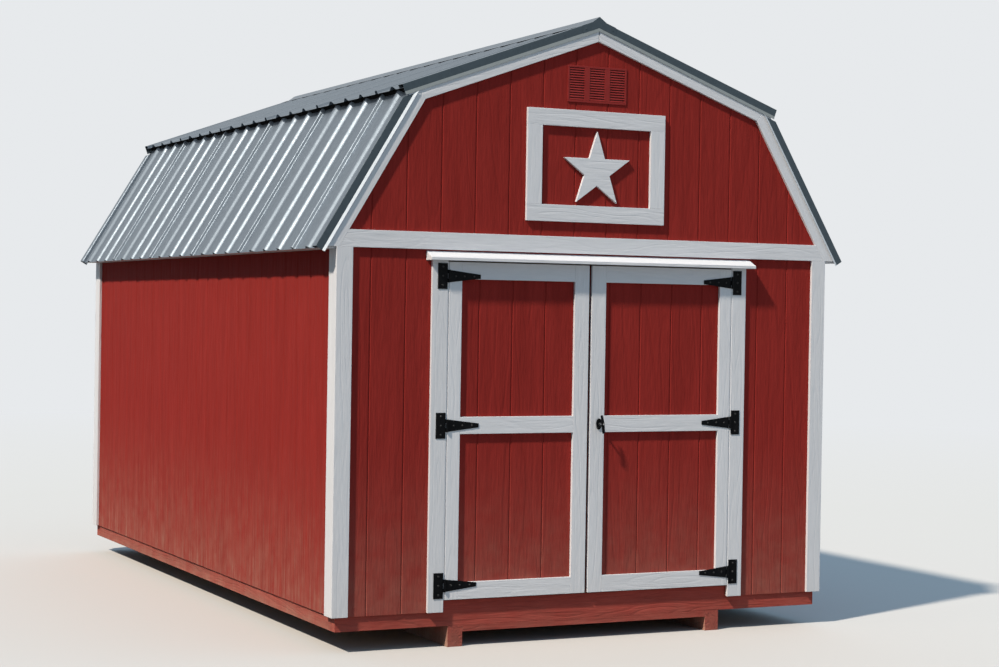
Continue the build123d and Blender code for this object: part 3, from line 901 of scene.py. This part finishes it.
def makeCapEnds():
    look = capEndSettings
    shape = bmesh.new()
    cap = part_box("ridge_cap")
    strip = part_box("upper_rake_metal")
    half = cap[1].x
    top = strip[1].z
    foot = cap[0].z + look["footLift"]
    crown = cap[0].z + look["crownLift"]
    bottom = top - upperFall * half - look["drop"]
    outline = [(-half, foot), (-half * look["crownShare"], crown), (0, cap[1].z),
               (half * look["crownShare"], crown), (half, foot), (half, bottom), (0, top - look["drop"]),
               (-half, bottom)]
    for side, start in ((-1, cap[0].y), (1, cap[1].y)):
        corners = [shape.verts.new((x, start, z)) for x, z in outline]
        plate = bmesh.ops.extrude_face_region(shape, geom=[shape.faces.new(corners)])
        moveBy(shape, vertsIn(plate), (0, side * look["thickness"], 0))
        for out in (-1, 1):
            place = Matrix.Translation((out * look["rivetOut"], start + side * look["rivetSeat"],
                                        top - upperFall * look["rivetOut"] - look["rivetDown"]))
            bmesh.ops.create_uvsphere(shape, u_segments=8, v_segments=6, radius=look["rivet"],
                                      matrix=place @ Matrix.Diagonal((1, look["rivetFlat"], 1, 1)))
    bmesh.ops.recalc_face_normals(shape, faces=shape.faces[:])
    addPiece("ridge_cap_ends", shape, "shed", ["paintedDarkReflection"])


makeCapEnds()


# Near-black foam strips close the gap under the upper sheets along each knuckle; their near-black is painted
# shade for the shadow under the upper sheets' edge
closureSettings = {"inner": 0.002, "outer": 0.026, "top": -0.001, "foot": -0.036, "length": 0.914,
                   "gap": 0.0015, "ease": 0.003, "shortest": 0.05, "topDepth": 0.012}


def makeClosures():
    look = closureSettings
    shape = bmesh.new()
    for side in (-1, 1):
        sides = sorted((side * (knuckle.x + look["inner"]), side * (knuckle.x + look["outer"])))
        start = lowerDeck[0].y
        while start < lowerDeck[1].y - look["shortest"]:
            end = min(start + look["length"], lowerDeck[1].y)
            addBlock(shape, (sides[0], start, knuckle.z + look["foot"]),
                     (sides[1], end - look["gap"], knuckle.z + look["top"]))
            start = end
    bevelEdges(shape, shape.edges[:], look["ease"])
    # The top follows the upper slope
    for vert in shape.verts:
        if vert.co.z > knuckle.z - look["topDepth"]:
            vert.co.z -= (abs(vert.co.x) - knuckle.x) * upperFall
    addPiece("knuckle_closures", shape, "shed", ["paintedShadeBlack"])


makeClosures()


# Hex screws on washers, in rows across the flats beside the ribs
screwSettings = {"head": 0.0045, "headHeight": 0.005, "headTaper": 0.9, "washer": 0.0075,
                 "washerHeight": 0.0015, "washerTaper": 0.75, "lift": 0.0012, "besideRib": 0.040,
                 "lowerRows": (0.05, 0.50, 0.94), "upperRows": (0.05, 0.38, 0.70, 0.88)}


def addScrew(shape, place, normal):
    seat = Matrix.Translation(place) @ normal.to_track_quat("Z", "Y").to_matrix().to_4x4()
    for part, sides in (("washer", 10), ("head", 6)):
        radius = screwSettings[part]
        height = screwSettings[part + "Height"]
        bmesh.ops.create_cone(shape, cap_ends=True, segments=sides, radius1=radius,
                              radius2=radius * screwSettings[part + "Taper"], depth=height,
                              matrix=seat @ Matrix.Translation((0, 0, height / 2)))


def makeScrews(name, foot, head, rows):
    shape = bmesh.new()
    for side in (-1, 1):
        low = Vector((side * foot.x, 0, foot.z))
        high = Vector((side * head.x, 0, head.z))
        normal = Vector((0, 1, 0)).cross((high - low).normalized()) * side
        if normal.z < 0:
            normal.negate()
        for row in rows:
            for centre in ribCentres():
                place = low.lerp(high, row) + normal * screwSettings["lift"]
                place.y = centre + screwSettings["besideRib"]
                addScrew(shape, place, normal)
    addPiece(name, shape, "shed", ["bareZinc"])


makeScrews("lower_roof_screws", eave, knuckle, screwSettings["lowerRows"])
makeScrews("upper_roof_screws", knuckle, ridge, screwSettings["upperRows"])
print("roof dressed")


# Louvred vents: a slim frame, three columns, and slats that lean out at the foot
ventSettings = {"border": 0.012, "mullion": 0.034, "frameDepth": 0.0055, "columns": 3, "slats": 13,
                "slatThickness": 0.0016, "slatHeight": 0.0100, "slatLean": 22.0, "slatSetBack": 0.0012,
                "slatLap": 0.001, "backing": 0.001, "ease": 0.0012}


def makeVents():
    look = ventSettings
    shape = bmesh.new()
    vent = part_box("gable_vents")
    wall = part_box("front_gable")[0].y
    front = wall - look["frameDepth"]
    inset = Vector((look["border"], 0, look["border"]))
    low = vent[0] + inset
    high = vent[1] - inset
    columns = look["columns"]
    column = (high.x - low.x - (columns - 1) * look["mullion"]) / columns
    starts = [low.x + index * (column + look["mullion"]) for index in range(columns)]
    bars = [(vent[0].x, vent[0].z, vent[1].x, low.z), (vent[0].x, high.z, vent[1].x, vent[1].z),
            (vent[0].x, low.z, low.x, high.z), (high.x, low.z, vent[1].x, high.z)]
    bars += [(start - look["mullion"], low.z, start, high.z) for start in starts[1:]]
    for left, foot, right, head in bars:
        addBlock(shape, (left, front, foot), (right, wall, head))
    bevelEdges(shape, sharpEdges(shape), look["ease"])
    framing = set(shape.faces)
    # The backing behind the slats is near-black: painted shade for the dark opening behind the louvres
    lap = look["border"] / 2
    addBlock(shape, (low.x - lap, wall - look["backing"], low.z - lap), (high.x + lap, wall, high.z + lap))
    for face in shape.faces:
        face.material_index = 0 if face in framing else 1
    pitch = (high.z - low.z) / look["slats"]
    lean = Matrix.Rotation(math.radians(-look["slatLean"]), 4, "X")
    reach = look["slatHeight"] / 2 * math.sin(math.radians(look["slatLean"]))
    size = Vector((column / 2 + look["slatLap"], look["slatThickness"] / 2, look["slatHeight"] / 2))
    for start in starts:
        for index in range(look["slats"]):
            middle = Vector((start + column / 2, front + look["slatSetBack"] + reach,
                             low.z + (index + 0.5) * pitch))
            addBlock(shape, middle - size, middle + size, lean)
    back = bmesh.ops.duplicate(shape, geom=wholeOf(shape))
    bmesh.ops.rotate(shape, verts=vertsIn(back), cent=(0, 0, 0), matrix=Matrix.Rotation(math.pi, 3, "Z"))
    addPiece("gable_vents_louvred", shape, "shed", ["redVent", "paintedShadeBlack"], ["gable_vents"])


makeVents()


# Domed bolt heads on the hinge plates and straps
boltSettings = {"plateRadius": 0.0065, "strapRadius": 0.0058, "height": 0.0036, "axis": 0.902,
                "plateThickness": 0.003, "plateRows": (-0.050, 0.0, 0.050), "plateFromAxis": 0.036,
                "strapFromAxis": (0.040, 0.092, 0.150), "heights": (0.340, 1.208, 2.018)}


def addBolt(shape, place, radius):
    made = bmesh.ops.create_uvsphere(shape, u_segments=12, v_segments=8, radius=1.0,
                                     matrix=Matrix.Translation(place) @ zToFront)["verts"]
    bmesh.ops.scale(shape, verts=made, vec=(radius, boltSettings["height"], radius),
                    space=Matrix.Translation(-Vector(place)))


def makeBolts():
    look = boltSettings
    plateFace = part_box("door_jamb_boards")[0].y - look["plateThickness"]
    onPlates = bmesh.new()
    for side in (-1, 1):
        for height in look["heights"]:
            for row in look["plateRows"]:
                addBolt(onPlates, (side * (look["axis"] + look["plateFromAxis"]), plateFace, height + row),
                        look["plateRadius"])
    addPiece("hinge_plate_bolts", onPlates, "shed", ["boltHead"], smooth=True)
    for side, body in ((-1, "left_door"), (1, "right_door")):
        onStraps = bmesh.new()
        for height in look["heights"]:
            for reach in look["strapFromAxis"]:
                addBolt(onStraps, (side * (look["axis"] - reach), plateFace, height), look["strapRadius"])
        addPiece(body + "_strap_bolts", onStraps, body, ["boltHead"], smooth=True)


makeBolts()


# T-handle: a slightly tapered and bowed bar on a bare zinc spindle
handleSettings = {"middleShare": 1.28, "topShare": 0.86, "footShare": 1.10, "taperPower": 1.5,
                  "bow": 0.004, "tilt": 8.0, "flat": 0.78, "steps": 10, "round": 0.0050,
                  "endAngle": 60, "spindle": 0.0055, "collar": 0.0070, "collarLength": 0.014,
                  "collarStart": 0.006, "rivet": 0.0046, "rivetHeight": 0.0024}


def makeHandle():
    look = handleSettings
    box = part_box("t_handle")
    middle = (box[0] + box[1]) / 2
    half = (box[1].z - box[0].z) / 2
    radius = (box[1].x - box[0].x) / 2
    barY = box[0].y + radius
    shape = bmesh.new()
    bmesh.ops.create_cone(shape, cap_ends=True, segments=16, radius1=radius, radius2=radius, depth=half * 2)
    for step in range(1, look["steps"]):
        level = -half + 2 * half * step / look["steps"]
        bmesh.ops.bisect_plane(shape, geom=wholeOf(shape), dist=meshSettings["cut"],
                               plane_co=(0, 0, level), plane_no=(0, 0, 1))
    bevelEdges(shape, sharpEdges(shape, look["endAngle"]), look["round"], segments=4)
    for vert in shape.verts:
        out = abs(vert.co.z) / half
        end = look["topShare"] if vert.co.z > 0 else look["footShare"]
        size = look["middleShare"] + (end - look["middleShare"]) * out ** look["taperPower"]
        vert.co.x *= size
        vert.co.y = vert.co.y * size * look["flat"] + look["bow"] * out ** 2
    bmesh.ops.rotate(shape, verts=shape.verts, cent=(0, 0, 0),
                     matrix=Matrix.Rotation(math.radians(-look["tilt"]), 3, "Y"))
    moveBy(shape, shape.verts, (middle.x, barY, middle.z))
    barFaces = set(shape.faces)
    collarStart = box[1].y - look["collarStart"]
    for size, start, end in ((look["spindle"], box[1].y, barY),
                             (look["collar"], collarStart, collarStart - look["collarLength"])):
        place = Matrix.Translation((middle.x, (start + end) / 2, middle.z)) @ zToFront
        bmesh.ops.create_cone(shape, cap_ends=True, segments=18, radius1=size, radius2=size,
                              depth=abs(start - end), matrix=place)
    nose = Matrix.Translation((middle.x, barY - radius * look["middleShare"] * look["flat"], middle.z))
    flatten = Matrix.Diagonal((1, look["rivetHeight"] / look["rivet"], 1, 1))
    bmesh.ops.create_uvsphere(shape, u_segments=14, v_segments=8, radius=look["rivet"],
                              matrix=nose @ flatten)
    for face in shape.faces:
        face.material_index = 0 if face in barFaces else 1
    addPiece("t_handle_bar", shape, "door_handle", ["blackHardware", "bareZinc"],
             ["t_handle"], smooth=True)


makeHandle()


# The handle's plate: a dished oval with a screw at each end
rosePlateSettings = {"halfWidth": 0.017, "halfHeight": 0.031, "thickness": 0.006, "rim": 0.0045,
                     "dish": 0.002, "ease": 0.0015, "edgeAngle": 60, "backReach": 0.001, "screw": 0.0035,
                     "screwFlat": 0.6, "screwOut": 0.023}


def makeRosePlate():
    look = rosePlateSettings
    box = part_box("handle_rose")
    middle = (box[0] + box[1]) / 2
    back = box[1].y
    shape = bmesh.new()
    bmesh.ops.create_circle(shape, cap_ends=True, segments=32, radius=1.0, matrix=zToFront)
    bmesh.ops.scale(shape, verts=shape.verts, vec=(look["halfWidth"], 1.0, look["halfHeight"]))
    moveBy(shape, shape.verts, (middle.x, back, middle.z))
    grown = bmesh.ops.extrude_face_region(shape, geom=shape.faces[:])
    moveBy(shape, vertsIn(grown), (0, -look["thickness"], 0))
    bmesh.ops.recalc_face_normals(shape, faces=shape.faces[:])
    rims = [edge for edge in sharpEdges(shape, look["edgeAngle"])
            if edge.verts[0].co.y < back - look["backReach"]]
    bevelEdges(shape, rims, look["ease"], segments=3)
    front = min(shape.faces, key=lambda face: face.calc_center_median().y)
    bmesh.ops.inset_region(shape, faces=[front], thickness=look["rim"], depth=0.0)
    moveBy(shape, front.verts[:], (0, look["dish"], 0))
    for out in (-1, 1):
        place = Matrix.Translation((middle.x, back - look["thickness"] + look["dish"],
                                    middle.z + out * look["screwOut"]))
        bmesh.ops.create_uvsphere(shape, u_segments=10, v_segments=6, radius=look["screw"],
                                  matrix=place @ Matrix.Diagonal((1, look["screwFlat"], 1, 1)))
    addPiece("handle_plate", shape, "right_door", ["blackHardware"], ["handle_rose"],
             smooth=True)


makeRosePlate()

# Frame nodes whose shape is right keep it and take a finish
for node, frameObject in nodes.items():
    if not frameObject.hide_render:
        frameObject.data.materials.clear()
        frameObject.data.materials.append(finish[finishOfSlot[slotOfNode[node]]])
print("hardware dressed")

bpy.context.view_layer.update()
